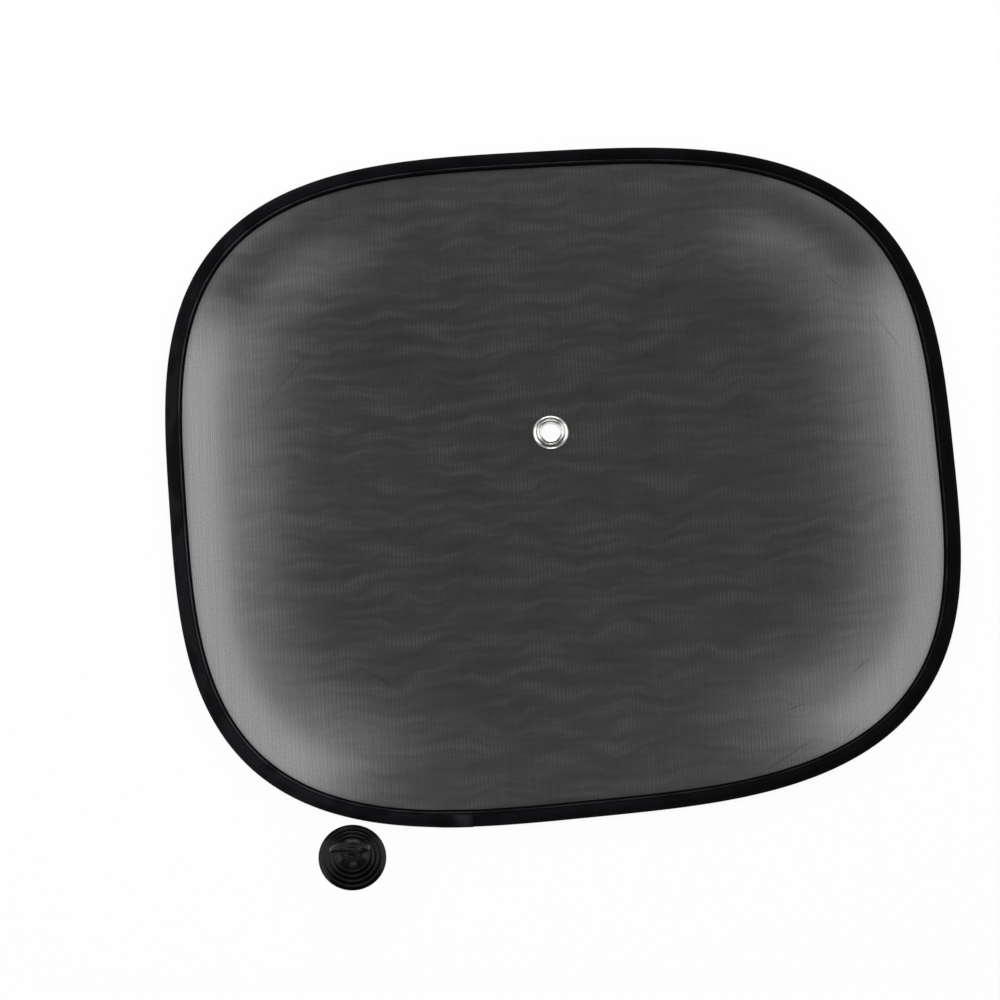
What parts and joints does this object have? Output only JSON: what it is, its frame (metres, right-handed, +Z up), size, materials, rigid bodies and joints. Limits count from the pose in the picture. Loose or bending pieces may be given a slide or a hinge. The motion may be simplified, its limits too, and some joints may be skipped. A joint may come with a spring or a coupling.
{
  "type": "car side window sunshade",
  "caption": "Oblong dark net window shade with rounded corners, sprung wire rim in a sewn binding, central eyelet, and a suction cup with a hook clip.",
  "frame": {"origin": "middle of the whole part's outline seen from above, on the floor it lies on", "axes": "+X along the length of the shade, which runs along the window; +Y up the window, away from the suction cup; +Z straight up from the floor, out of the face of the shade"},
  "size_m": [0.44, 0.4242, 0.0296],
  "materials": {
    "net": "fine knitted net, see-through, matt",
    "binding": "close-woven tape, matt with a faint sheen",
    "spring_steel": "drawn wire",
    "nickel": "bright nickel plate",
    "soft_cup": "soft, glossy",
    "clip_plastic": "moulded, slightly glossy"
  },
  "bodies": {
    "root": {"mesh_panel": "net", "edge_binding": "binding", "frame_wire": "spring_steel", "wire_ferrule": "spring_steel", "eyelet": "nickel", "eyelet_washer": "nickel", "suction_cup": "soft_cup", "hook_clip": "clip_plastic"}
  },
  "joints": []
}
